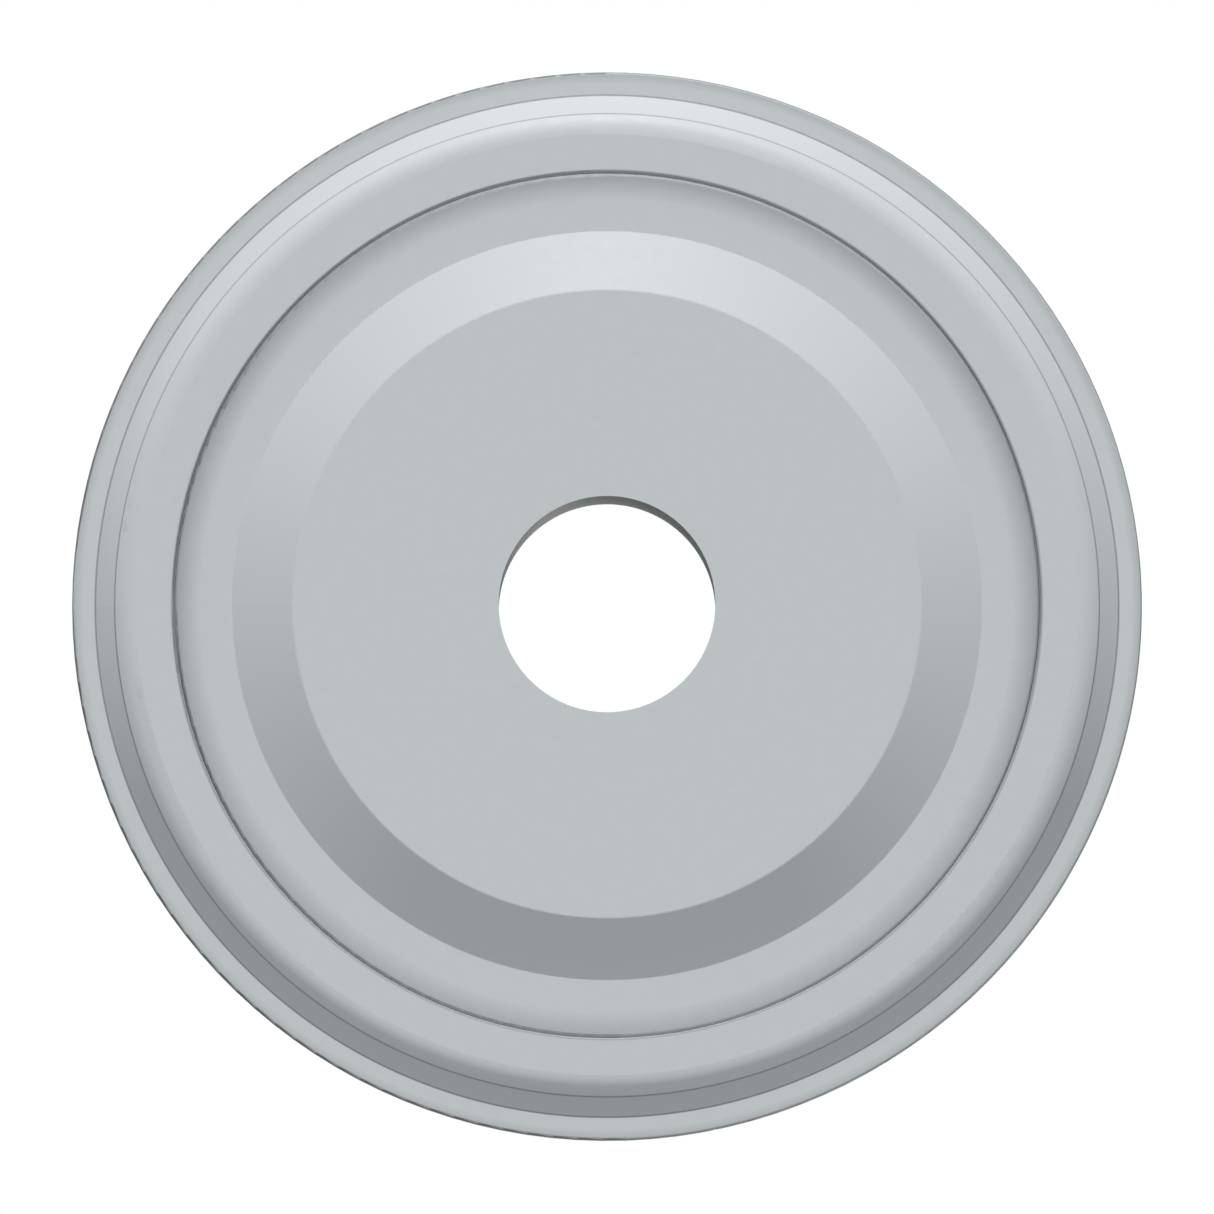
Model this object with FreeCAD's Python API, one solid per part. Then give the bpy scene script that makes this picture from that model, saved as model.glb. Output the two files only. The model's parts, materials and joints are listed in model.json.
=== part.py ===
import FreeCAD
import Part
import math
import os
from FreeCAD import Vector

# Round ceiling air diffuser: a stepped face with one clear outlet in its middle.
# Millimetres. +Z points up into the ceiling, the face looks down, and the origin
# is the centre of the face plate's front plane, on the axis.

os.makedirs("parts", exist_ok=True)

# ---- Driving dimensions ------------------------------------------------------

OUTER_R = 228.5  # half of the 457 mm face
OUTLET_R = 46.3  # clear outlet
DUCT_R = 79.5  # outside of the spigot, for a nominal 160 mm duct
CUTOUT_PASS_R = 196.0  # widest radius above the ceiling plane
CEILING_Z = 26.0  # ceiling plane, at the gasket's top
SPIGOT_TOP_Z = 140.0

FACE_TRAVEL = 20.0  # how far the face plate can be pulled down
CLAMP_TRAVEL = 30.0  # how far a clamp arm can be drawn down
SHORT_BEND = 0.6  # outer radius of a tight fold in sheet
DRILL_OVER = 1.0  # how far a cutting tool reaches past what it cuts

# Face plate, all heights of its visible side
PLATE_T = 1.2
PLATE_R = 184.9
RECESS_Z = 12.5  # flat ring inside the step
BEVEL_FOOT_R = 160.2
BEVEL_TOP_R = 134.4
PLATE_RIM_TOP_Z = 16.3
PLATE_EDGE_BEND = 0.8
INNER_BEND = 0.3

# Frame ring, all heights of its visible side
RING_T = 1.0
LIP_R = 185.4  # inside of the step round the face plate
LIP_SEAT_R = 180.0
LIP_SEAT_Z = 17.0
PROUD_Z = 5.5  # flat ring outside the step
ROUNDOVER_R = 206.2  # where the flat and the sloping side would meet
ROUNDOVER_BEND = 12.8
CREASE_R = 210.2
CREASE_Z = 9.1
CONE_TOP_R = 210.6
CONE_TOP_Z = 10.3
CONE_FOOT_R = 218.6
RIM_Z = 18.5
EDGE_BEND = 1.15
HEM_R = 222.5
HEM_TOP_Z = 24.0
HEM_BEND = 1.05

# Back pan, heights of its lower side
PAN_T = 1.0
FLANGE_R = 227.1
FLANGE_Z = 22.0
SHELF_Z = 35.0
SHELF_INNER_R = 160.0
COLLAR_Z = 84.0
COLLAR_TOP_Z = 97.0
COLLAR_R = DUCT_R + 0.1  # the collar slips over the spigot

# Ceiling gasket
GASKET_INNER_R = 203.0
GASKET_OUTER_R = 221.0

# Spigot
SPIGOT_T = 1.0
SPIGOT_FOOT_Z = 80.0
STOP_BEAD_Z = 100.5
STOP_BEAD_H = 2.2
SEAL_FOOT_Z = 104.4
SEAL_TOP_Z = 112.6
SEAL_T = 1.1
SEAL_LIP_H = 2.6  # from the band out to a lip's tip
SEAL_LIP_ROOTS = (2.0, 5.6)  # above the seal's foot
KEEPER_BEAD_Z = 116.0
KEEPER_BEAD_H = 0.4
BEAD_HALF_W = 2.2

# Outlet sleeve and what clamps it to the face plate
SLEEVE_T = 2.0
SLEEVE_R = OUTLET_R + SLEEVE_T
SLEEVE_TOP_Z = 70.0
SLEEVE_GASKET_T = 0.5
SLEEVE_GASKET_SETBACK = 0.3
SLEEVE_FLANGE_R = 59.0
SLEEVE_FLANGE_T = 2.0
STUD_CIRCLE_R = 53.6
STUD_COUNT = 6
STUD_R = 2.0
STUD_TOP_Z = 11.0
STUD_HOLE_CLEARANCE = 0.2
NUT_ACROSS_FLATS = 7.0
NUT_H = 3.2
WASHER_R = 4.4
WASHER_T = 0.8

# Bridge that carries the sleeve's guide and the three post bushes
HUB_R = 58.0
HUB_FOOT_Z = 22.0
HUB_TOP_Z = 36.0
LINER_T = 2.6
LINER_CLEARANCE = 0.06
LINER_STANDS_OUT = 1.5  # above the hub's top
LINER_R = SLEEVE_R + LINER_CLEARANCE
HUB_BORE_R = LINER_R + LINER_T
LINER_LIP_R = 54.5
LINER_LIP_T = 2.0
ARM_T = 4.0
ARM_W = 24.0
ARM_END_R = 174.0
ARM_ANGLES = (90.0, 210.0, 330.0)
BRIDGE_RIVET_RS = (165.0, 170.0)
BRIDGE_RIVET_SIDE = 7.0

# Guide posts
POST_CIRCLE_R = 100.0
POST_R = 4.0
POST_BASE_R = 9.0
POST_BASE_H = 3.0
POST_TOP_Z = 63.0
POST_CHAMFER = 1.0
POST_CLEARANCE = 0.08
BUSH_R = 7.5
BUSH_LIP_R = 10.0
BUSH_LIP_T = 2.0
BUSH_TOP_Z = 40.0
GRIP_RING_R = 5.4
GRIP_RING_Z = 36.0
GRIP_RING_T = 1.8
STOP_CLIP_R = 8.0
STOP_CLIP_T = 1.2
STOP_CLIP_GAP = 0.3

# Edge seal on the back of the face plate
EDGE_SEAL_INNER_R = 179.2
EDGE_SEAL_OUTER_R = 182.8
EDGE_SEAL_GAP = 0.1

# Clamps, with u outward from the screw, v along the rim, and z up
CLAMP_CIRCLE_R = 174.0
CLAMP_ANGLES = (30.0, 150.0, 270.0)
SCREW_R = 2.5
SCREW_HEAD_R = 4.4
SCREW_HEAD_H = 3.2
SOCKET_ACROSS_FLATS = 4.0
SOCKET_DEPTH = 2.0
HEAD_WASHER_R = 5.5
HEAD_WASHER_T = 1.0
POST_PLATE_T = 1.5
POST_PLATE_U = -11.0
POST_PLATE_W = 26.0
POST_PLATE_TOP_Z = 93.0
POST_FOOT_T = 2.0
POST_FOOT_U = 12.0
POST_RIVET_U = 7.0
POST_RIVET_V = 8.5
SCREW_CLIP_R = 5.2
SCREW_CLIP_T = 1.0
SCREW_CLIP_GAP = 0.2
CLAMP_NUT_FOOT_Z = SHELF_Z + 19.5 + CLAMP_TRAVEL  # clear of the post's foot at full travel
CLAMP_NUT_H = 6.5
SCREW_STANDS_OUT = 3.0  # above the nut at rest
CLAMP_NUT_HALF_W = 6.5
CLAMP_NECK_R = 5.0
CLAMP_NECK_H = 7.6
CLAMP_NUT_CLEARANCE = 0.08
CLAMP_GAP = 0.3
CLAMP_ARM_EYE_R = 8.6
CLAMP_ARM_T = 5.5
CLAMP_ARM_W = 13.0
CLAMP_ARM_REACH = 44.0
CLAMP_ARM_DROP = 10.0
CLAMP_ARM_STEP_AT = 22.0
CLAMP_ARM_STEP_RUN = 6.0
CLAMP_ARM_STEP_BACK = 3.0
CLAMP_KEEPER_R = 7.0
CLAMP_KEEPER_T = 1.2

# Fasteners
RIVET_R = 1.6
RIVET_HEAD_R = 3.4
RIVET_HEAD_H = 1.3
RIVET_TAIL_R = 2.5
RIVET_TAIL_H = 1.6
HOLE_CLEARANCE = 0.05
SCREW_HOLE_CLEARANCE = 0.3
SPIGOT_RIVET_COUNT = 8
SPIGOT_RIVET_Z = 92.8
RIVET_HEAD_GAP = 0.02  # between a flat head and the curved collar
RIVET_TAIL_GAP = 0.14  # between a flat tail and the spigot's hollow side
FIXING_CIRCLE_R = 175.0
FIXING_ANGLES = (0.0, 120.0, 240.0)
FIXING_HOLE_R = 2.75

AXIS = Vector(0, 0, 1)
ORIGIN = Vector(0, 0, 0)


# ---- Geometry helpers --------------------------------------------------------

def save(name, shape):
    """Write one sub-part."""
    shape.exportStep(f"parts/{name}.step")


def rounded_face(corners):
    """Face in the XZ plane round closed (radius, height, bend) corners."""
    points = [Vector(r, 0, z) for r, z, _ in corners]
    stretches = []
    for i, (_, _, bend) in enumerate(corners):
        corner = points[i]
        back = (points[i - 1] - corner).normalize()
        ahead = (points[(i + 1) % len(points)] - corner).normalize()
        if bend == 0:
            stretches.append((corner, None, corner))
            continue
        half = back.getAngle(ahead) / 2
        setback = bend / math.tan(half)
        middle_way = (back + ahead).normalize()
        middle = corner + middle_way * (bend / math.sin(half) - bend)
        stretches.append((corner + back * setback, middle, corner + ahead * setback))
    edges = []
    for i, (start, middle, end) in enumerate(stretches):
        edges.append(Part.LineSegment(stretches[i - 1][2], start).toShape())
        if middle is not None:
            edges.append(Part.Arc(start, middle, end).toShape())
    return Part.Face(Part.Wire(edges))


def spun_sheet(corners, thickness):
    """Sheet of even thickness spun about the axis, on the right of its path."""
    points = [Vector(r, 0, z) for r, z, _ in corners]
    ways = [(b - a).normalize() for a, b in zip(points, points[1:])]
    other_side = []
    for i, (_, _, bend) in enumerate(corners):
        before = ways[max(i - 1, 0)]
        after = ways[min(i, len(ways) - 1)]
        right = Vector(before.z + after.z, 0, -before.x - after.x).normalize()
        reach = thickness / right.dot(Vector(after.z, 0, -after.x))
        point = points[i] + right * reach
        turns_right = before.x * after.z - before.z * after.x < 0
        other_bend = bend - thickness if turns_right else bend + thickness
        other_side.append((point.x, point.z, max(other_bend, 0) if bend else 0))
    return rounded_face(list(corners) + other_side[::-1]).revolve(ORIGIN, AXIS, 360)


def turned(outline):
    """A closed (radius, height) outline turned about the axis."""
    points = [Vector(r, 0, z) for r, z in outline]
    wire = Part.makePolygon(points + points[:1])
    return Part.Face(wire).revolve(ORIGIN, AXIS, 360)


def ring(inner_r, outer_r, low, high):
    """A flat-ended ring about the axis."""
    return turned([(inner_r, low), (outer_r, low), (outer_r, high), (inner_r, high)])


def rod(radius, low, high):
    """A plain cylinder about the axis."""
    return Part.makeCylinder(radius, high - low, Vector(0, 0, low))


def hexagon(across_flats, low, high):
    """A hexagonal prism about the axis."""
    corner_r = across_flats / math.sqrt(3)
    points = []
    for i in range(7):
        turn = math.radians(60 * i)
        points.append(Vector(corner_r * math.cos(turn), corner_r * math.sin(turn), low))
    face = Part.Face(Part.makePolygon(points))
    return face.extrude(Vector(0, 0, high - low))


def block(low, high):
    """A box between two corners."""
    size = Vector(*high) - Vector(*low)
    return Part.makeBox(size.x, size.y, size.z, Vector(*low))


def placed(shape, radius, angle):
    """A copy moved out along X by radius and turned about the axis."""
    copy = shape.copy()
    copy.translate(Vector(radius, 0, 0))
    copy.rotate(ORIGIN, AXIS, angle)
    return copy


def around(shape, radius, angles):
    """Copies of a shape at each angle, as one compound of separate solids."""
    return Part.makeCompound([placed(shape, radius, angle) for angle in angles])


def even_angles(count, first=0.0):
    """Angles that share a full turn evenly."""
    return [first + 360 * i / count for i in range(count)]


def rivet(grip):
    """A blind rivet along Z: domed head on top of z = 0, tail below the grip."""
    dome_r = (RIVET_HEAD_R ** 2 + RIVET_HEAD_H ** 2) / (2 * RIVET_HEAD_H)
    dome = Part.makeSphere(dome_r, Vector(0, 0, RIVET_HEAD_H - dome_r))
    head = dome.common(rod(RIVET_HEAD_R + 1, 0, RIVET_HEAD_H + 1))
    shank = rod(RIVET_R, -grip, 0)
    tail = rod(RIVET_TAIL_R, -grip - RIVET_TAIL_H, -grip)
    return head.fuse(shank).fuse(tail).removeSplitter()


# ---- Frame ring --------------------------------------------------------------

def make_frame_ring():
    """Stepped outer ring, its edge hemmed over the pan's flange."""
    return spun_sheet(
        [
            (HEM_R, HEM_TOP_Z, 0),
            (OUTER_R, HEM_TOP_Z, HEM_BEND),
            (OUTER_R, RIM_Z, EDGE_BEND),
            (CONE_FOOT_R, RIM_Z, SHORT_BEND),
            (CONE_TOP_R, CONE_TOP_Z, 0),
            (CREASE_R, CREASE_Z, 0),
            (ROUNDOVER_R, PROUD_Z, ROUNDOVER_BEND),
            (LIP_R, PROUD_Z, SHORT_BEND),
            (LIP_R, LIP_SEAT_Z, 1.0),
            (LIP_SEAT_R, LIP_SEAT_Z, 0),
        ],
        RING_T,
    )


# ---- Back pan, spigot and seals ----------------------------------------------

def shelf_drill(radius):
    """What a drill of this radius takes out of the pan's shelf."""
    return rod(radius, SHELF_Z - DRILL_OVER, SHELF_Z + PAN_T + DRILL_OVER)


def make_back_pan():
    """Spun pan: ceiling flange, wall, shelf, cone and the collar for the spigot."""
    pan = spun_sheet(
        [
            (FLANGE_R, FLANGE_Z, 0),
            (CUTOUT_PASS_R - PAN_T, FLANGE_Z, 1.5),
            (CUTOUT_PASS_R - PAN_T, SHELF_Z, 3.0),
            (SHELF_INNER_R, SHELF_Z, 6.0),
            (COLLAR_R, COLLAR_Z, 8.0),
            (COLLAR_R, COLLAR_TOP_Z, 0),
        ],
        PAN_T,
    )
    drill = shelf_drill(RIVET_R + HOLE_CLEARANCE)
    for radius in BRIDGE_RIVET_RS:
        pan = pan.cut(bridge_rivet_pattern(drill, radius))
    screw_hole = shelf_drill(SCREW_R + SCREW_HOLE_CLEARANCE)
    pan = pan.cut(around(screw_hole, CLAMP_CIRCLE_R, CLAMP_ANGLES))
    pan = pan.cut(clamp_rivet_pattern(drill))
    pan = pan.cut(around(shelf_drill(FIXING_HOLE_R), FIXING_CIRCLE_R, FIXING_ANGLES))
    return pan.cut(spigot_rivet_holes())


def make_spigot():
    """Duct neck with a stop bead, and a keeper bead above the seal."""
    inner_r = DUCT_R - SPIGOT_T
    beads = []
    for middle, height in ((STOP_BEAD_Z, STOP_BEAD_H), (KEEPER_BEAD_Z, KEEPER_BEAD_H)):
        beads += [
            (inner_r, middle - BEAD_HALF_W, SHORT_BEND),
            (inner_r + height, middle, SHORT_BEND),
            (inner_r, middle + BEAD_HALF_W, SHORT_BEND),
        ]
    tube = spun_sheet(
        [(inner_r, SPIGOT_FOOT_Z, 0)] + beads + [(inner_r, SPIGOT_TOP_Z, 0)],
        SPIGOT_T,
    )
    return tube.cut(spigot_rivet_holes())


def spigot_rivet_holes():
    """Radial holes through the collar and the spigot."""
    reach = PAN_T + SPIGOT_T + DRILL_OVER
    drill = Part.makeCylinder(
        RIVET_R + HOLE_CLEARANCE, 2 * reach, Vector(-reach, 0, SPIGOT_RIVET_Z), Vector(1, 0, 0)
    )
    return around(drill, DUCT_R, even_angles(SPIGOT_RIVET_COUNT))


def make_spigot_rivets():
    """Blind rivets that hold the spigot in the pan's collar."""
    head_r = COLLAR_R + PAN_T + RIVET_HEAD_GAP
    tail_r = DUCT_R - SPIGOT_T - RIVET_TAIL_GAP
    one = rivet(head_r - tail_r)
    one.rotate(ORIGIN, Vector(0, 1, 0), 90)
    one.translate(Vector(0, 0, SPIGOT_RIVET_Z))
    return around(one, head_r, even_angles(SPIGOT_RIVET_COUNT))


def make_spigot_seal():
    """Rubber band with two lips that lean towards the pan."""
    band_r = DUCT_R + SEAL_T
    outline = [(DUCT_R, SEAL_FOOT_Z), (band_r, SEAL_FOOT_Z)]
    for above_foot in SEAL_LIP_ROOTS:
        root = SEAL_FOOT_Z + above_foot
        outline += [
            (band_r, root),
            (band_r + 0.85 * SEAL_LIP_H, root - 1.6),
            (band_r + SEAL_LIP_H, root - 0.9),
            (band_r, root + 1.6),
        ]
    outline += [(band_r, SEAL_TOP_Z), (DUCT_R, SEAL_TOP_Z)]
    return turned(outline)


# ---- Bridge ------------------------------------------------------------------

def bridge_rivet_pattern(shape, radius):
    """Copies at the two rivets of each arm that lie at this radius."""
    side = BRIDGE_RIVET_SIDE if radius == BRIDGE_RIVET_RS[0] else -BRIDGE_RIVET_SIDE
    copies = []
    for angle in ARM_ANGLES:
        copy = shape.copy()
        copy.translate(Vector(0, side, 0))
        copies.append(placed(copy, radius, angle))
    return Part.makeCompound(copies)


def make_bridge():
    """Hub ring on three flat arms that reach out under the pan's shelf."""
    arm_foot_z = SHELF_Z - ARM_T
    arm_root = (HUB_BORE_R + HUB_R) / 2
    arm = block((arm_root, -ARM_W / 2, arm_foot_z), (ARM_END_R, ARM_W / 2, SHELF_Z))
    bridge = ring(HUB_BORE_R, HUB_R, HUB_FOOT_Z, HUB_TOP_Z)
    for angle in ARM_ANGLES:
        bridge = bridge.fuse(placed(arm, 0, angle))
    arm_drill_ends = (arm_foot_z - DRILL_OVER, SHELF_Z + DRILL_OVER)
    bush_hole = rod(BUSH_R, *arm_drill_ends)
    bridge = bridge.cut(around(bush_hole, POST_CIRCLE_R, ARM_ANGLES))
    drill = rod(RIVET_R + HOLE_CLEARANCE, *arm_drill_ends)
    for radius in BRIDGE_RIVET_RS:
        bridge = bridge.cut(bridge_rivet_pattern(drill, radius))
    return bridge.removeSplitter()


def make_bridge_rivets():
    """Rivets through the pan's shelf and the bridge arms."""
    one = rivet(PAN_T + ARM_T)
    one.translate(Vector(0, 0, SHELF_Z + PAN_T))
    both = [bridge_rivet_pattern(one, radius) for radius in BRIDGE_RIVET_RS]
    return Part.makeCompound([solid for group in both for solid in group.Solids])


def make_hub_liner():
    """Nylon liner that the outlet sleeve slides in."""
    return turned(
        [
            (LINER_R, HUB_FOOT_Z - LINER_LIP_T),
            (LINER_LIP_R, HUB_FOOT_Z - LINER_LIP_T),
            (LINER_LIP_R, HUB_FOOT_Z),
            (HUB_BORE_R, HUB_FOOT_Z),
            (HUB_BORE_R, HUB_TOP_Z + LINER_STANDS_OUT),
            (LINER_R, HUB_TOP_Z + LINER_STANDS_OUT),
        ]
    )


def make_guide_bush():
    """Flanged nylon bush with a groove for its grip ring."""
    bore_r = POST_R + POST_CLEARANCE
    arm_foot_z = SHELF_Z - ARM_T
    bush = turned(
        [
            (bore_r, arm_foot_z - BUSH_LIP_T),
            (BUSH_LIP_R, arm_foot_z - BUSH_LIP_T),
            (BUSH_LIP_R, arm_foot_z),
            (BUSH_R, arm_foot_z),
            (BUSH_R, BUSH_TOP_Z),
            (bore_r, BUSH_TOP_Z),
        ]
    )
    return bush.cut(rod(GRIP_RING_R, GRIP_RING_Z, GRIP_RING_Z + GRIP_RING_T))


# ---- Face plate and what moves with it ---------------------------------------

def make_face_plate():
    """Pressed plate: upturned rim, recessed ring, bevel and centre disc."""
    return spun_sheet(
        [
            (PLATE_R, PLATE_RIM_TOP_Z, 0),
            (PLATE_R, RECESS_Z, PLATE_T + INNER_BEND),
            (BEVEL_FOOT_R, RECESS_Z, PLATE_EDGE_BEND),
            (BEVEL_TOP_R, 0, PLATE_T + PLATE_EDGE_BEND),
            (OUTLET_R, 0, 0),
        ],
        PLATE_T,
    )


def make_sleeve():
    """Outlet tube with a drilled foot flange, its bore flush with the plate's hole."""
    foot_z = PLATE_T + SLEEVE_GASKET_T
    sleeve = turned(
        [
            (OUTLET_R, foot_z),
            (SLEEVE_FLANGE_R, foot_z),
            (SLEEVE_FLANGE_R, foot_z + SLEEVE_FLANGE_T),
            (SLEEVE_R, foot_z + SLEEVE_FLANGE_T),
            (SLEEVE_R, SLEEVE_TOP_Z),
            (OUTLET_R, SLEEVE_TOP_Z),
        ]
    )
    hole = rod(STUD_R + STUD_HOLE_CLEARANCE, 0, STUD_TOP_Z)
    return sleeve.cut(around(hole, STUD_CIRCLE_R, even_angles(STUD_COUNT)))


def make_sleeve_gasket():
    """Thin gasket between the plate and the sleeve's flange."""
    gasket = ring(OUTLET_R + SLEEVE_GASKET_SETBACK, SLEEVE_FLANGE_R, PLATE_T, PLATE_T + SLEEVE_GASKET_T)
    hole = rod(STUD_R + STUD_HOLE_CLEARANCE, 0, STUD_TOP_Z)
    return gasket.cut(around(hole, STUD_CIRCLE_R, even_angles(STUD_COUNT)))


def make_stud_set():
    """Studs on the plate's back, with a washer and a nut on each."""
    angles = even_angles(STUD_COUNT)
    washer_z = PLATE_T + SLEEVE_GASKET_T + SLEEVE_FLANGE_T
    nut_z = washer_z + WASHER_T
    nut = hexagon(NUT_ACROSS_FLATS, nut_z, nut_z + NUT_H)
    nut = nut.cut(rod(STUD_R, nut_z - DRILL_OVER, nut_z + NUT_H + DRILL_OVER))
    washer = ring(STUD_R + STUD_HOLE_CLEARANCE, WASHER_R, washer_z, nut_z)
    stud = rod(STUD_R, PLATE_T, STUD_TOP_Z)
    save("sleeve_studs", around(stud, STUD_CIRCLE_R, angles))
    save("sleeve_washers", around(washer, STUD_CIRCLE_R, angles))
    save("sleeve_nuts", around(nut, STUD_CIRCLE_R, angles))


def make_guide_post():
    """Rod with a broad foot, welded to the plate's back."""
    return turned(
        [
            (0, PLATE_T),
            (POST_BASE_R, PLATE_T),
            (POST_BASE_R, PLATE_T + POST_BASE_H - POST_CHAMFER),
            (POST_R + 2 * POST_CHAMFER, PLATE_T + POST_BASE_H),
            (POST_R, PLATE_T + POST_BASE_H),
            (POST_R, POST_TOP_Z - POST_CHAMFER),
            (POST_R - POST_CHAMFER, POST_TOP_Z),
            (0, POST_TOP_Z),
        ]
    )


def make_stop_clip():
    """Push-on ring that stops the post at full travel."""
    low = BUSH_TOP_Z + FACE_TRAVEL + STOP_CLIP_GAP
    return ring(POST_R, STOP_CLIP_R, low, low + STOP_CLIP_T)


# ---- Clamps ------------------------------------------------------------------

def make_clamp_screw():
    """Screw held in the shelf, its socket facing the room."""
    head_top = SHELF_Z - HEAD_WASHER_T
    head_low = head_top - SCREW_HEAD_H
    screw_top = CLAMP_NUT_FOOT_Z + CLAMP_NUT_H + SCREW_STANDS_OUT
    head = rod(SCREW_HEAD_R, head_low, head_top)
    socket = hexagon(SOCKET_ACROSS_FLATS, head_low, head_low + SOCKET_DEPTH)
    return head.cut(socket).fuse(rod(SCREW_R, head_top, screw_top)).removeSplitter()


def make_clamp_post():
    """Bent upright beside the screw that keeps the nut from turning."""
    foot_low = SHELF_Z + PAN_T
    foot_top = foot_low + POST_FOOT_T
    half = POST_PLATE_W / 2
    upright = block(
        (POST_PLATE_U, -half, foot_low),
        (POST_PLATE_U + POST_PLATE_T, half, POST_PLATE_TOP_Z),
    )
    foot = block((POST_PLATE_U, -half, foot_low), (POST_FOOT_U, half, foot_top))
    post = upright.fuse(foot).cut(
        rod(SCREW_R + SCREW_HOLE_CLEARANCE, foot_low - DRILL_OVER, foot_top + DRILL_OVER)
    )
    for side in (-1, 1):
        hole = rod(RIVET_R + HOLE_CLEARANCE, foot_low - DRILL_OVER, foot_top + DRILL_OVER)
        hole.translate(Vector(POST_RIVET_U, side * POST_RIVET_V, 0))
        post = post.cut(hole)
    return post.removeSplitter()


def clamp_rivet_pattern(shape):
    """Copies at the two rivets of each clamp post."""
    copies = []
    for angle in CLAMP_ANGLES:
        for side in (-1, 1):
            copy = shape.copy()
            copy.translate(Vector(POST_RIVET_U, side * POST_RIVET_V, 0))
            copies.append(placed(copy, CLAMP_CIRCLE_R, angle))
    return Part.makeCompound(copies)


def make_clamp_post_rivets():
    """Rivets through the shelf and the feet of the clamp posts."""
    one = rivet(PAN_T + POST_FOOT_T)
    one.translate(Vector(0, 0, SHELF_Z + PAN_T + POST_FOOT_T))
    return clamp_rivet_pattern(one)


def make_clamp_nut():
    """Square nut with a round neck under it that carries the arm."""
    back = POST_PLATE_U + POST_PLATE_T + CLAMP_GAP
    top = CLAMP_NUT_FOOT_Z + CLAMP_NUT_H
    body = block(
        (back, -CLAMP_NUT_HALF_W, CLAMP_NUT_FOOT_Z),
        (CLAMP_NUT_HALF_W, CLAMP_NUT_HALF_W, top),
    )
    neck = rod(CLAMP_NECK_R, CLAMP_NUT_FOOT_Z - CLAMP_NECK_H, CLAMP_NUT_FOOT_Z)
    bore = rod(
        SCREW_R + CLAMP_NUT_CLEARANCE,
        CLAMP_NUT_FOOT_Z - CLAMP_NECK_H - DRILL_OVER,
        top + DRILL_OVER,
    )
    return body.fuse(neck).cut(bore).removeSplitter()


def make_clamp_arm():
    """Cranked arm, folded along the rim, with its tip lower than its eye."""
    eye_top = CLAMP_NUT_FOOT_Z - CLAMP_GAP
    eye_low = eye_top - CLAMP_ARM_T
    half = CLAMP_ARM_W / 2
    step_top = CLAMP_ARM_STEP_AT
    step_low = CLAMP_ARM_STEP_AT - CLAMP_ARM_STEP_BACK
    side = [
        (0, eye_top),
        (step_top, eye_top),
        (step_top + CLAMP_ARM_STEP_RUN, eye_top - CLAMP_ARM_DROP),
        (CLAMP_ARM_REACH, eye_top - CLAMP_ARM_DROP),
        (CLAMP_ARM_REACH, eye_low - CLAMP_ARM_DROP),
        (step_low + CLAMP_ARM_STEP_RUN, eye_low - CLAMP_ARM_DROP),
        (step_low, eye_low),
        (0, eye_low),
    ]
    points = [Vector(u, -half, z) for u, z in side]
    outline = Part.Face(Part.makePolygon(points + points[:1]))
    arm = outline.extrude(Vector(0, CLAMP_ARM_W, 0))
    arm = arm.fuse(rod(CLAMP_ARM_EYE_R, eye_low, eye_top))
    arm = arm.cut(
        rod(CLAMP_NECK_R + CLAMP_NUT_CLEARANCE, eye_low - DRILL_OVER, eye_top + DRILL_OVER)
    )
    arm.rotate(ORIGIN, AXIS, -90)
    return arm.removeSplitter()


def make_clamp_keeper():
    """Ring under the arm that keeps it on the nut's neck."""
    top = CLAMP_NUT_FOOT_Z - 2 * CLAMP_GAP - CLAMP_ARM_T
    return ring(CLAMP_NECK_R, CLAMP_KEEPER_R, top - CLAMP_KEEPER_T, top)


def make_screw_clip():
    """Ring on the screw above the post's foot that holds the screw in place."""
    low = SHELF_Z + PAN_T + POST_FOOT_T + SCREW_CLIP_GAP
    return ring(SCREW_R, SCREW_CLIP_R, low, low + SCREW_CLIP_T)


# ---- Write every sub-part ----------------------------------------------------

save("frame_ring", make_frame_ring())
save("back_pan", make_back_pan())
save("spigot", make_spigot())
save("spigot_rivets", make_spigot_rivets())
save("spigot_seal", make_spigot_seal())
save("ceiling_gasket",
     ring(GASKET_INNER_R, GASKET_OUTER_R, FLANGE_Z + PAN_T, CEILING_Z))
save("bridge", make_bridge())
save("bridge_rivets", make_bridge_rivets())
save("hub_liner", make_hub_liner())

save("face_plate", make_face_plate())
save("outlet_sleeve", make_sleeve())
save("sleeve_gasket", make_sleeve_gasket())
make_stud_set()
save("plate_edge_seal",
     ring(EDGE_SEAL_INNER_R, EDGE_SEAL_OUTER_R, RECESS_Z + PLATE_T,
          LIP_SEAT_Z - EDGE_SEAL_GAP))

grip_ring = ring(POST_R + POST_CLEARANCE, GRIP_RING_R, GRIP_RING_Z,
                 GRIP_RING_Z + GRIP_RING_T)
save("post_grip_rings", around(grip_ring, POST_CIRCLE_R, ARM_ANGLES))
save("post_stop_clips", around(make_stop_clip(), POST_CIRCLE_R, ARM_ANGLES))
for number, angle in enumerate(ARM_ANGLES, start=1):
    save(f"guide_bush_{number}", placed(make_guide_bush(), POST_CIRCLE_R, angle))
    save(f"guide_post_{number}", placed(make_guide_post(), POST_CIRCLE_R, angle))

head_washer = ring(SCREW_R + SCREW_CLIP_GAP, HEAD_WASHER_R, SHELF_Z - HEAD_WASHER_T, SHELF_Z)
save("clamp_screw_washers", around(head_washer, CLAMP_CIRCLE_R, CLAMP_ANGLES))
save("clamp_post_rivets", make_clamp_post_rivets())
CLAMP_PIECES = {
    "clamp_post": make_clamp_post(),
    "clamp_screw": make_clamp_screw(),
    "clamp_screw_clip": make_screw_clip(),
    "clamp_nut": make_clamp_nut(),
    "clamp_arm": make_clamp_arm(),
    "clamp_keeper": make_clamp_keeper(),
}
for number, angle in enumerate(CLAMP_ANGLES, start=1):
    for name, shape in CLAMP_PIECES.items():
        save(f"{name}_{number}", placed(shape, CLAMP_CIRCLE_R, angle))
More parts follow.
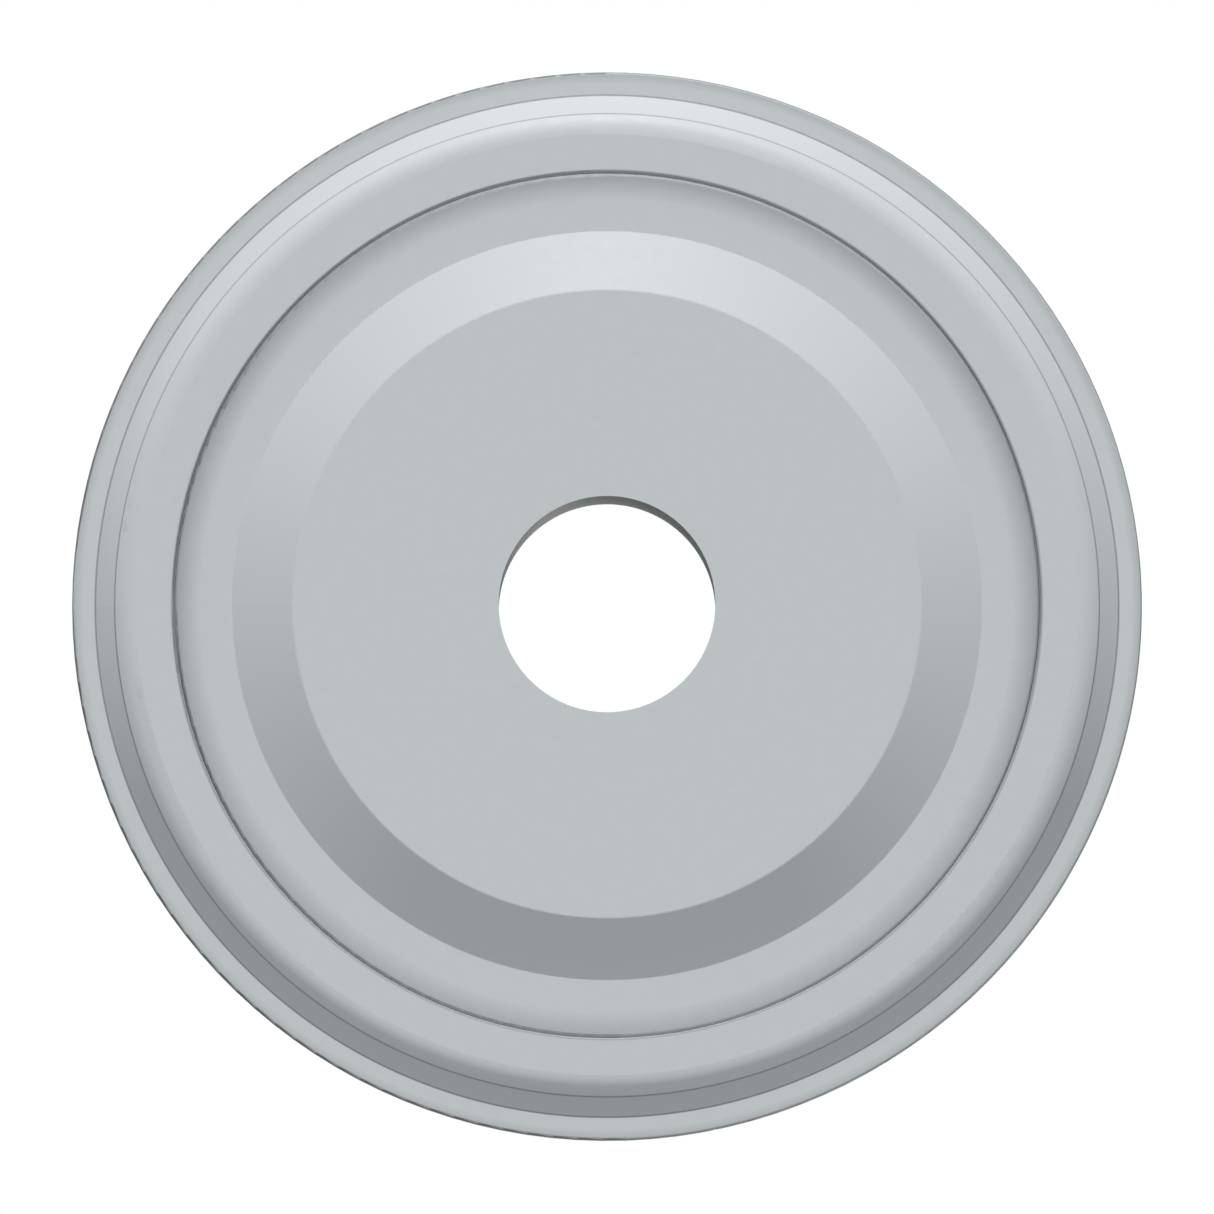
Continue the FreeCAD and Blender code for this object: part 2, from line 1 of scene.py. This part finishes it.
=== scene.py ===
import bmesh
import bpy
import json
import math
from mathutils import Matrix, Vector


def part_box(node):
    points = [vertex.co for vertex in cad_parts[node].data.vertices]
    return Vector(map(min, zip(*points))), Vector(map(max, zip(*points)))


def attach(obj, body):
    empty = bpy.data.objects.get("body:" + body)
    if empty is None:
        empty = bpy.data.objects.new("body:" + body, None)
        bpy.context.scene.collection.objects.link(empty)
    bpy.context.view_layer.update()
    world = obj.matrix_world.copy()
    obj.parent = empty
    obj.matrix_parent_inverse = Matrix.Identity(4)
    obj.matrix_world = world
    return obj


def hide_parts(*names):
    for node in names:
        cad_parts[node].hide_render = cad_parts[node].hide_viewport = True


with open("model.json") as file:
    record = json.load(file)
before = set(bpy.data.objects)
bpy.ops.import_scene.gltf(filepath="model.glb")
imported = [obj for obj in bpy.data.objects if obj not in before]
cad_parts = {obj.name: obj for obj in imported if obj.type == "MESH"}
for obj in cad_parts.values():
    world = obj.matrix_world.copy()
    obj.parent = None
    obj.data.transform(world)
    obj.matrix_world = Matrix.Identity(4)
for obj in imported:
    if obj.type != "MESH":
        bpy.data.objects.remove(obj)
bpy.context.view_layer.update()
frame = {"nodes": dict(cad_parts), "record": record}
NODES = frame["nodes"]
MM = 0.001

# The diffuser hangs as on a ceiling: +Z goes up into the duct, the face looks down.

# ---- Sizes taken from the frame ----------------------------------------------

RING_LOW, RING_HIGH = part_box("frame_ring")
OUTER_R = RING_HIGH.x
EDGE_Z = RING_HIGH.z
PLATE_LOW, PLATE_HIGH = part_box("face_plate")
PLATE_R = PLATE_HIGH.x

# ---- Camera: square on to the face from below, a little off the axis ---------

VIEW_TILT = math.radians(3.0)
FRAME_WIDTH = OUTER_R * 2.2696  # the face fills 88 percent of the picture
CAMERA_DISTANCE = 1.6
CAMERA_AIM = Vector((0.0, 0.0, EDGE_Z))


def make_camera():
    """Parallel camera under the face, tipped towards the picture's lower edge."""
    data = bpy.data.cameras.new("camera")
    data.type = "ORTHO"
    data.ortho_scale = FRAME_WIDTH
    camera = bpy.data.objects.new("camera", data)
    bpy.context.scene.collection.objects.link(camera)
    ahead = Vector((0.0, math.sin(VIEW_TILT), math.cos(VIEW_TILT)))
    up = Vector((0.0, math.cos(VIEW_TILT), -math.sin(VIEW_TILT)))
    right = ahead.cross(up)
    camera.matrix_world = matrix_from(right, up, -ahead, CAMERA_AIM - ahead * CAMERA_DISTANCE)
    bpy.context.scene.camera = camera


def matrix_from(x_axis, y_axis, z_axis, place):
    """4 x 4 matrix with these axes as columns."""
    matrix = Matrix((x_axis, y_axis, z_axis)).transposed().to_4x4()
    matrix.translation = place
    return matrix


# ---- Light and surroundings --------------------------------------------------

AMBIENT = 0.345
FRONT_STRENGTH = 0.78
KEY_STRENGTH = 2.92
KEY_OFF_AXIS = math.radians(68.0)
LIGHT_AIM = Vector((0.0, 0.0, 0.05))
FLOOR_Z = -2.6
FLOOR_HALF = 9.0
FLOOR_GLOW = 0.42


def make_world():
    """Even soft light, and plain white where the camera looks past the object."""
    world = bpy.data.worlds.new("studio")
    bpy.context.scene.world = world
    world.use_nodes = True
    tree = world.node_tree
    tree.nodes.clear()
    soft = tree.nodes.new("ShaderNodeBackground")
    soft.inputs["Color"].default_value = (1.0, 1.0, 1.0, 1.0)
    soft.inputs["Strength"].default_value = AMBIENT
    white = tree.nodes.new("ShaderNodeBackground")
    white.inputs["Color"].default_value = (1.0, 1.0, 1.0, 1.0)
    white.inputs["Strength"].default_value = 1.0
    path = tree.nodes.new("ShaderNodeLightPath")
    mix = tree.nodes.new("ShaderNodeMixShader")
    out = tree.nodes.new("ShaderNodeOutputWorld")
    tree.links.new(path.outputs["Is Camera Ray"], mix.inputs["Fac"])
    tree.links.new(soft.outputs["Background"], mix.inputs[1])
    tree.links.new(white.outputs["Background"], mix.inputs[2])
    tree.links.new(mix.outputs["Shader"], out.inputs["Surface"])


def add_light(name, kind, energy, place, size=None, shadow=True):
    """A lamp at a place, turned to the object, that the camera doesn't see itself."""
    data = bpy.data.lights.new(name, kind)
    data.energy = energy
    data.use_shadow = shadow
    if kind == "AREA":
        data.shape = "DISK"
        data.size = size
    lamp = bpy.data.objects.new(name, data)
    bpy.context.scene.collection.objects.link(lamp)
    lamp.location = place
    way = (LIGHT_AIM if kind == "AREA" else Vector()) - lamp.location
    lamp.rotation_mode = "QUATERNION"
    lamp.rotation_quaternion = way.to_track_quat("-Z", "Y")
    lamp.visible_camera = False
    return lamp


def make_lights():
    """A key from the picture's top edge, and soft boxes for the back and the sides."""
    key_from = Vector((0.0, math.sin(KEY_OFF_AXIS), -math.cos(KEY_OFF_AXIS)))
    add_light("key", "SUN", KEY_STRENGTH, key_from, shadow=False)
    add_light("front", "SUN", FRONT_STRENGTH, (0.0, 0.0, -1.0), shadow=False)
    add_light("back_box", "AREA", 26.0, (-1.2, -1.3, 1.7), size=2.2)
    add_light("back_fill", "AREA", 9.0, (1.7, 0.9, 1.0), size=1.6)


def make_floor():
    """Plain pale floor of the room under the ceiling."""
    mesh = bpy.data.meshes.new("floor")
    half = FLOOR_HALF
    corners = [(-half, -half, 0), (half, -half, 0), (half, half, 0), (-half, half, 0)]
    mesh.from_pydata(corners, [], [(0, 1, 2, 3)])
    floor = bpy.data.objects.new("floor", mesh)
    floor.location.z = FLOOR_Z
    bpy.context.scene.collection.objects.link(floor)
    material = bpy.data.materials.new("floor_paint")
    material.use_nodes = True
    shader = material.node_tree.nodes["Principled BSDF"]
    shader.inputs["Base Color"].default_value = (0.9, 0.9, 0.9, 1.0)
    shader.inputs["Roughness"].default_value = 0.9
    shader.inputs["Emission Color"].default_value = (1.0, 1.0, 1.0, 1.0)
    shader.inputs["Emission Strength"].default_value = FLOOR_GLOW
    mesh.materials.append(material)
    floor.visible_diffuse = False
    floor.visible_glossy = False
    floor.visible_shadow = False


# ---- Materials ---------------------------------------------------------------

class Surface:
    """A Principled material built step by step on object coordinates."""

    def __init__(self, name, colour, roughness, metallic=0.0, **constants):
        self.material = bpy.data.materials.new(name)
        self.material.use_nodes = True
        self.tree = self.material.node_tree
        self.shader = self.tree.nodes["Principled BSDF"]
        self.place = self.tree.nodes.new("ShaderNodeTexCoord").outputs["Object"]
        self.colour = colour
        self.shader.inputs["Base Color"].default_value = (*colour, 1.0)
        self.shader.inputs["Roughness"].default_value = roughness
        self.shader.inputs["Metallic"].default_value = metallic
        for socket, value in constants.items():
            self.shader.inputs[socket.replace("_", " ")].default_value = value
        self.colour_from = None
        self.normal_from = None

    def node(self, kind, **values):
        """A node with its named inputs set."""
        made = self.tree.nodes.new(kind)
        for name, value in values.items():
            made.inputs[name].default_value = value
        return made

    def link(self, source, target):
        self.tree.links.new(source, target)

    def noise(self, scale, detail=3.0, roughness=0.55):
        """Noise factor with about this many features per metre."""
        made = self.node("ShaderNodeTexNoise", Scale=scale, Detail=detail, Roughness=roughness)
        self.link(self.place, made.inputs["Vector"])
        return made.outputs["Fac"]

    def cells(self, scale, output="Color"):
        """Voronoi cells, as a random colour or a distance."""
        made = self.node("ShaderNodeTexVoronoi", Scale=scale)
        self.link(self.place, made.inputs["Vector"])
        return made.outputs[output]

    def spread(self, factor, low, high, low_from=0.3, high_from=0.7):
        """A factor mapped on to a range of numbers."""
        made = self.tree.nodes.new("ShaderNodeMapRange")
        made.inputs["From Min"].default_value = low_from
        made.inputs["From Max"].default_value = high_from
        made.inputs["To Min"].default_value = low
        made.inputs["To Max"].default_value = high
        self.link(factor, made.inputs["Value"])
        return made.outputs["Result"]

    def tint(self, factor, colour):
        """Mix the colour so far towards another one."""
        made = self.tree.nodes.new("ShaderNodeMix")
        made.data_type = "RGBA"
        if self.colour_from is None:
            made.inputs["A"].default_value = (*self.colour, 1.0)
        else:
            self.link(self.colour_from, made.inputs["A"])
        made.inputs["B"].default_value = (*colour, 1.0)
        self.link(factor, made.inputs["Factor"])
        self.colour_from = made.outputs["Result"]
        self.link(self.colour_from, self.shader.inputs["Base Color"])
        return self

    def rough(self, factor, low, high):
        """Roughness that wanders between two values."""
        self.link(self.spread(factor, low, high), self.shader.inputs["Roughness"])
        return self

    def bump(self, height, depth, strength=1.0):
        """Relief of this depth in metres."""
        made = self.node("ShaderNodeBump", Strength=strength, Distance=depth)
        self.link(height, made.inputs["Height"])
        if self.normal_from is not None:
            self.link(self.normal_from, made.inputs["Normal"])
        self.normal_from = made.outputs["Normal"]
        self.link(self.normal_from, self.shader.inputs["Normal"])
        return self

    def line(self, radius, half_width, strength):
        """A fine ring about the axis: full at the radius, gone half a width away."""
        away = self.tree.nodes.new("ShaderNodeMath")
        away.operation = "SUBTRACT"
        self.link(self.radius(), away.inputs[0])
        away.inputs[1].default_value = radius
        size = self.tree.nodes.new("ShaderNodeMath")
        size.operation = "ABSOLUTE"
        self.link(away.outputs["Value"], size.inputs[0])
        return self.spread(size.outputs["Value"], strength, 0.0, 0.25 * half_width, half_width)

    def height(self):
        """Height above the face's lowest plane, in metres."""
        split = self.tree.nodes.new("ShaderNodeSeparateXYZ")
        self.link(self.place, split.inputs["Vector"])
        return split.outputs["Z"]

    def both(self, first, second):
        """Two factors multiplied."""
        made = self.tree.nodes.new("ShaderNodeMath")
        made.operation = "MULTIPLY"
        self.link(first, made.inputs[0])
        self.link(second, made.inputs[1])
        return made.outputs["Value"]

    def radius(self):
        """Distance from the diffuser's axis, in metres."""
        flat = self.tree.nodes.new("ShaderNodeVectorMath")
        flat.operation = "MULTIPLY"
        self.link(self.place, flat.inputs[0])
        flat.inputs[1].default_value = (1.0, 1.0, 0.0)
        length = self.tree.nodes.new("ShaderNodeVectorMath")
        length.operation = "LENGTH"
        self.link(flat.outputs["Vector"], length.inputs[0])
        return length.outputs["Value"]


PAINT = (0.508, 0.539, 0.558)
# Painted shade: the first grey darkens the plate next to the step and the ring near its rolled edge;
# the near black paints shadow lines in the creases, at the lip and on the edge's bend.
PAINTED_SHADE_GREY = (0.30, 0.315, 0.325)
PAINTED_SHADOW_DARK = (0.10, 0.105, 0.11)
CONE_FOOT_IN = 9.9 * MM  # from the outer edge in to the foot of the ring's cone
CREASE_IN = 18.2 * MM  # from the outer edge in to the top of that cone
STEP_SHADE_STRIP = 11 * MM  # width of the painted shade on the plate, in from its edge
RIM_BELOW_EDGE = 5.5 * MM  # from the top of the rolled edge down to the flat rim
LIP_R = PLATE_R + 0.5 * MM  # inner edge of the ring, past the gap round the plate
RING_LINES = (  # radius, half width and strength of each fine painted shadow line
    (OUTER_R - CONE_FOOT_IN, 0.55 * MM, 0.6),
    (OUTER_R - CREASE_IN, 0.45 * MM, 0.45),
    (LIP_R + 0.3 * MM, 0.9 * MM, 0.42),
)


def face_paint():
    """Satin powder coat with a slightly uneven colour."""
    paint = Surface("face_paint_coat", PAINT, 0.5, Specular_IOR_Level=0.25)
    paint.tint(paint.spread(paint.noise(9.0, 4.0), 0.0, 0.05), (0.47, 0.50, 0.52))
    return paint


def plate_paint():
    """The same coat on the plate, darkened with painted shade where it meets the step."""
    paint = face_paint()
    # Painted shade: darker towards the step, where the ring's lip shades the plate.
    step_shade_mask = paint.spread(paint.radius(), 0.0, 0.8, PLATE_R - STEP_SHADE_STRIP, PLATE_R)
    paint.tint(step_shade_mask, PAINTED_SHADE_GREY)
    return coat_relief(paint)


def ring_paint():
    """The same coat on the ring, with painted shade at its rolled edge, its creases and its lip."""
    paint = face_paint()
    rim_z = EDGE_Z - RIM_BELOW_EDGE
    # The edge's painted shadow line lies on the bend from the flat rim, not on the wall above it.
    below_wall = paint.spread(paint.height(), 1.0, 0.0, rim_z + 0.9 * MM, rim_z + 1.4 * MM)
    on_bend = paint.spread(paint.height(), 0.0, 0.75, rim_z + 0.15 * MM, rim_z + 0.5 * MM)
    # Painted shade: the rim darkens towards its rolled edge, and a painted shadow line sits on the
    # edge's bend.
    edge_shade_mask = paint.spread(
        paint.radius(), 0.0, 0.42, OUTER_R - 4.6 * MM, OUTER_R - 1.2 * MM
    )
    edge_shadow_line_mask = paint.spread(paint.radius(), 0.0, 1.0, OUTER_R - 1.6 * MM, OUTER_R - 1.2 * MM)
    paint.tint(paint.both(edge_shade_mask, below_wall), PAINTED_SHADE_GREY)
    paint.tint(paint.both(paint.both(edge_shadow_line_mask, on_bend), below_wall), PAINTED_SHADOW_DARK)
    # Painted shadow lines in the ring's creases and along its lip by the gap round the plate.
    for radius, half_width, strength in RING_LINES:
        paint.tint(paint.line(radius, half_width, strength), PAINTED_SHADOW_DARK)
    return coat_relief(paint)


def coat_relief(paint):
    """Orange peel and a slightly uneven gloss."""
    paint.rough(paint.noise(160.0, 2.0), 0.46, 0.54)
    paint.bump(paint.noise(700.0, 2.0), 0.000012)
    return paint.material


def galvanised():
    """Zinc-coated sheet with fine spangle and dull blooms."""
    sheet = Surface("galvanised_zinc", (0.60, 0.62, 0.635), 0.42, 0.85)
    spangle = sheet.cells(210.0)
    tone = sheet.tree.nodes.new("ShaderNodeSeparateColor")
    sheet.link(spangle, tone.inputs["Color"])
    sheet.tint(sheet.spread(tone.outputs["Red"], 0.0, 0.24, 0.0, 1.0), (0.45, 0.47, 0.49))
    sheet.tint(sheet.spread(sheet.noise(14.0, 5.0), 0.0, 0.30), (0.70, 0.71, 0.715))
    sheet.link(
        sheet.spread(tone.outputs["Green"], 0.46, 0.58, 0.0, 1.0),
        sheet.shader.inputs["Roughness"],
    )
    sheet.bump(sheet.cells(210.0, "Distance"), 0.00001, 0.3)
    sheet.bump(sheet.noise(420.0, 3.0), 0.00001, 0.5)
    return sheet.material


def sleeve_coat_and_shade():
    """Grey satin paint of the outlet tube, made darker than the face so that its colour also carries
    painted shade inside the hole.
    """
    coat = Surface("sleeve_coat_and_shade", (0.245, 0.252, 0.255), 0.5, Specular_IOR_Level=0.3)
    coat.tint(coat.spread(coat.noise(30.0, 4.0), 0.0, 0.2), (0.205, 0.212, 0.215))
    coat.rough(coat.noise(140.0), 0.42, 0.58)
    coat.bump(coat.noise(700.0, 2.0), 0.000012)
    return coat.material


def rubber():
    """Black moulded rubber with a chalky bloom."""
    skin = Surface("black_rubber_skin", (0.022, 0.022, 0.023), 0.62, Specular_IOR_Level=0.4)
    skin.tint(skin.spread(skin.noise(60.0, 5.0), 0.0, 0.5), (0.06, 0.06, 0.062))
    skin.rough(skin.noise(220.0), 0.52, 0.75)
    skin.bump(skin.noise(900.0, 3.0), 0.00003)
    return skin.material


def foam():
    """Closed-cell foam with fine open pores at its cut faces."""
    cells = Surface("grey_foam_cells", (0.145, 0.15, 0.16), 0.9, Specular_IOR_Level=0.2)
    pores = cells.cells(1400.0, "Distance")
    cells.tint(cells.spread(pores, 0.6, 0.0, 0.0, 0.45), (0.05, 0.052, 0.056))
    cells.tint(cells.spread(cells.noise(40.0, 4.0), 0.0, 0.35), (0.19, 0.195, 0.205))
    cells.bump(pores, 0.00022)
    return cells.material


def fibre():
    """Brown compressed fibre sheet."""
    sheet = Surface("fibre_sheet", (0.25, 0.17, 0.10), 0.85)
    sheet.tint(sheet.spread(sheet.noise(500.0, 6.0), 0.0, 0.7), (0.36, 0.27, 0.18))
    sheet.bump(sheet.noise(1500.0, 3.0), 0.00003)
    return sheet.material


def black_coat():
    """Black textured powder coat of the bridge."""
    coat = Surface("black_texture_coat", (0.028, 0.029, 0.031), 0.5)
    coat.tint(coat.spread(coat.noise(45.0, 4.0), 0.0, 0.5), (0.045, 0.046, 0.048))
    coat.rough(coat.noise(300.0), 0.42, 0.6)
    coat.bump(coat.noise(1100.0, 2.0), 0.00004)
    return coat.material


def rivet_metal():
    """Bright drawn aluminium."""
    metal = Surface("rivet_metal", (0.74, 0.75, 0.76), 0.34, 1.0)
    metal.tint(metal.spread(metal.noise(400.0, 3.0), 0.0, 0.35), (0.55, 0.56, 0.57))
    metal.rough(metal.noise(900.0), 0.26, 0.46)
    metal.bump(metal.noise(1800.0, 2.0), 0.000015)
    return metal.material


def nylon():
    """Natural nylon, a little translucent at its edges."""
    plastic = Surface(
        "white_nylon_moulding", (0.74, 0.72, 0.66), 0.42, Subsurface_Weight=0.25,
        Subsurface_Scale=0.003,
    )
    plastic.tint(plastic.spread(plastic.noise(80.0, 4.0), 0.0, 0.3), (0.66, 0.63, 0.55))
    plastic.rough(plastic.noise(250.0), 0.36, 0.5)
    plastic.bump(plastic.noise(1200.0, 2.0), 0.00002)
    return plastic.material


def zinc_plate():
    """Bright zinc plating, faintly blue, with duller patches."""
    plate = Surface("bright_zinc_plate", (0.66, 0.68, 0.71), 0.28, 1.0)
    plate.tint(plate.spread(plate.noise(130.0, 5.0), 0.0, 0.5), (0.52, 0.54, 0.57))
    plate.tint(plate.spread(plate.noise(45.0, 3.0), 0.0, 0.22), (0.68, 0.64, 0.50))
    plate.rough(plate.noise(320.0), 0.2, 0.42)
    plate.bump(plate.noise(1500.0, 3.0), 0.00001)
    return plate.material


def dark_spring():
    """Dark phosphated spring steel, lightly oiled."""
    steel = Surface("dark_spring_steel", (0.10, 0.10, 0.105), 0.4, 0.9)
    steel.tint(steel.spread(steel.noise(300.0, 4.0), 0.0, 0.5), (0.18, 0.175, 0.17))
    steel.rough(steel.noise(500.0), 0.3, 0.5)
    steel.bump(steel.noise(1500.0), 0.000012)
    return steel.material


def cast_zinc():
    """As-cast zinc alloy with a fine grain."""
    cast = Surface("cast_zinc_alloy", (0.43, 0.44, 0.46), 0.5, 0.8)
    cast.tint(cast.spread(cast.noise(70.0, 5.0), 0.0, 0.5), (0.33, 0.335, 0.35))
    cast.rough(cast.noise(260.0), 0.4, 0.62)
    cast.bump(cast.noise(900.0, 4.0), 0.00006)
    return cast.material


FINISHES = {
    "galvanised_sheet": galvanised,
    "sleeve_aluminium": sleeve_coat_and_shade,
    "black_rubber": rubber,
    "grey_foam": foam,
    "fibre_gasket": fibre,
    "bridge_steel": black_coat,
    "rivet_aluminium": rivet_metal,
    "white_nylon": nylon,
    "zinc_steel": zinc_plate,
    "spring_steel": dark_spring,
    "zinc_casting": cast_zinc,
}


def paint_nodes():
    """Give every CAD node its finish by its material slot."""
    made = {slot: build() for slot, build in FINISHES.items()}
    by_node = {"frame_ring": ring_paint(), "face_plate": plate_paint()}
    for row in frame["record"]["subparts"]:
        material = by_node.get(row["node"]) or made[row["material_slot"]]
        node = NODES[row["node"]]
        for slot in node.material_slots:
            slot.material = material
    return made


# ---- Threaded clamp screws ---------------------------------------------------

CLAMPS = (1, 2, 3)
TURN_STEPS = 24
SCREW_PITCH = 0.8 * MM
SCREW_R = 2.5 * MM
THREAD_ROOT_R = 2.08 * MM
SCREW_HEAD_R = 4.4 * MM
SCREW_HEAD_H = 3.2 * MM
PLAIN_SHANK = 5.6 * MM
SOCKET_APOTHEM = 2.0 * MM
SOCKET_DEPTH = 1.9 * MM
SCREW_EASE = 0.25 * MM  # small chamfers
SCREW_SHARP = math.radians(28)
THREAD_STEPS = (  # radius, and share of the pitch where each helical row lies
    (SCREW_R, 0.0),
    (SCREW_R, 0.22),
    (THREAD_ROOT_R, 0.5),
    (THREAD_ROOT_R, 0.72),
)


def new_point(bm, centre, radius, turn, z):
    """A point at this radius and turn about an upright axis."""
    return bm.verts.new(centre + Vector((radius * math.cos(turn), radius * math.sin(turn), z)))


def circle_row(bm, radius, z, centre):
    """One row of points round the screw's axis."""
    return [new_point(bm, centre, radius, math.tau * i / TURN_STEPS, z) for i in range(TURN_STEPS)]


def hexagon_row(bm, apothem, z, centre):
    """The same number of points on a hexagon."""
    row = []
    for i in range(TURN_STEPS):
        turn = math.tau * i / TURN_STEPS
        off_flat = (turn + math.pi / 6) % (math.pi / 3) - math.pi / 6
        row.append(new_point(bm, centre, apothem / math.cos(off_flat), turn, z))
    return row


def join_rows(bm, rows):
    """Bands of faces between rows, each closed on itself."""
    for low, high in zip(rows, rows[1:]):
        for i in range(TURN_STEPS):
            j = (i + 1) % TURN_STEPS
            bm.faces.new((low[i], low[j], high[j], high[i]))


def add_thread(bm, centre, low, high):
    """Right-handed helical ridge from low to high, its four rows to a turn."""
    turns = int((high - low) / SCREW_PITCH) - 1
    rows = []
    for turn_number in range(turns):
        for radius, share in THREAD_STEPS:
            row = []
            for i in range(TURN_STEPS):
                turn = math.tau * i / TURN_STEPS
                z = low + SCREW_PITCH * (turn_number + share + i / TURN_STEPS)
                row.append(new_point(bm, centre, radius, turn, z))
            rows.append(row)
    lead = len(THREAD_STEPS)
    for k in range(len(rows) - lead - 1):
        for i in range(TURN_STEPS):
            ahead = (i + 1) % TURN_STEPS
            wrap = lead if ahead == 0 else 0
            bm.faces.new((rows[k][i], rows[k + wrap][ahead], rows[k + 1 + wrap][ahead], rows[k + 1][i]))
    loose = [v for v in bm.verts if not v.link_faces]
    bmesh.ops.delete(bm, geom=loose, context="VERTS")


def make_screw(number, material):
    """Socket-head screw with a real thread, in place of the plain CAD one."""
    node = f"clamp_screw_{number}"
    low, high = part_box(node)
    centre = Vector(((low.x + high.x) / 2, (low.y + high.y) / 2, 0.0))
    head_top = low.z + SCREW_HEAD_H
    thread_low = head_top + PLAIN_SHANK
    tip = high.z
    bm = bmesh.new()
    add_thread(bm, centre, thread_low, tip - SCREW_EASE)
    head = [
        hexagon_row(bm, SOCKET_APOTHEM, low.z + SOCKET_DEPTH, centre),
        hexagon_row(bm, SOCKET_APOTHEM, low.z + SCREW_EASE, centre),
        hexagon_row(bm, SOCKET_APOTHEM + SCREW_EASE, low.z, centre),
        circle_row(bm, SCREW_HEAD_R - SCREW_EASE, low.z, centre),
        circle_row(bm, SCREW_HEAD_R, low.z + SCREW_EASE, centre),
        circle_row(bm, SCREW_HEAD_R, head_top - SCREW_EASE, centre),
        circle_row(bm, SCREW_HEAD_R - SCREW_EASE, head_top, centre),
        circle_row(bm, SCREW_R, head_top, centre),
        circle_row(bm, SCREW_R, thread_low + SCREW_PITCH, centre),
        circle_row(bm, THREAD_ROOT_R, thread_low + 1.5 * SCREW_PITCH, centre),
        circle_row(bm, THREAD_ROOT_R, tip - SCREW_EASE, centre),
        circle_row(bm, THREAD_ROOT_R - SCREW_EASE, tip, centre),
    ]
    join_rows(bm, head)
    bm.faces.new(head[0][::-1])
    bm.faces.new(head[-1])
    mesh = bpy.data.meshes.new(f"threaded_screw_{number}")
    bm.to_mesh(mesh)
    bm.free()
    mesh.materials.append(material)
    mesh.shade_smooth()
    mesh.set_sharp_from_angle(angle=SCREW_SHARP)
    screw = bpy.data.objects.new(f"threaded_screw_{number}", mesh)
    bpy.context.scene.collection.objects.link(screw)
    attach(screw, node)
    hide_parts(node)


# ---- Softened edges ----------------------------------------------------------

SOFT_EDGES = {
    "bridge": 0.5 * MM,
    "clamp_arm": 0.6 * MM,
    "clamp_nut": 0.4 * MM,
    "clamp_post": 0.25 * MM,
    "outlet_sleeve": 0.3 * MM,
    "spigot_seal": 0.2 * MM,
}
WELD_GAP = 0.002 * MM
SHARPER_THAN = math.radians(42)


def soften_edges():
    """Small rounds on the edges of cast, cut and moulded pieces."""
    for node, obj in NODES.items():
        width = SOFT_EDGES.get(node.rstrip("_123"))  # clamp_arm_2 goes by clamp_arm
        if width is None:
            continue
        weld = obj.modifiers.new("weld", "WELD")
        weld.merge_threshold = WELD_GAP
        bevel = obj.modifiers.new("bevel", "BEVEL")
        bevel.width = width
        bevel.segments = 2
        bevel.limit_method = "ANGLE"
        bevel.angle_limit = SHARPER_THAN


# ---- Build -------------------------------------------------------------------

bpy.context.scene.view_settings.view_transform = "Standard"
make_camera()
make_world()
make_lights()
make_floor()
finishes = paint_nodes()
for clamp in CLAMPS:
    make_screw(clamp, finishes["zinc_steel"])
soften_edges()
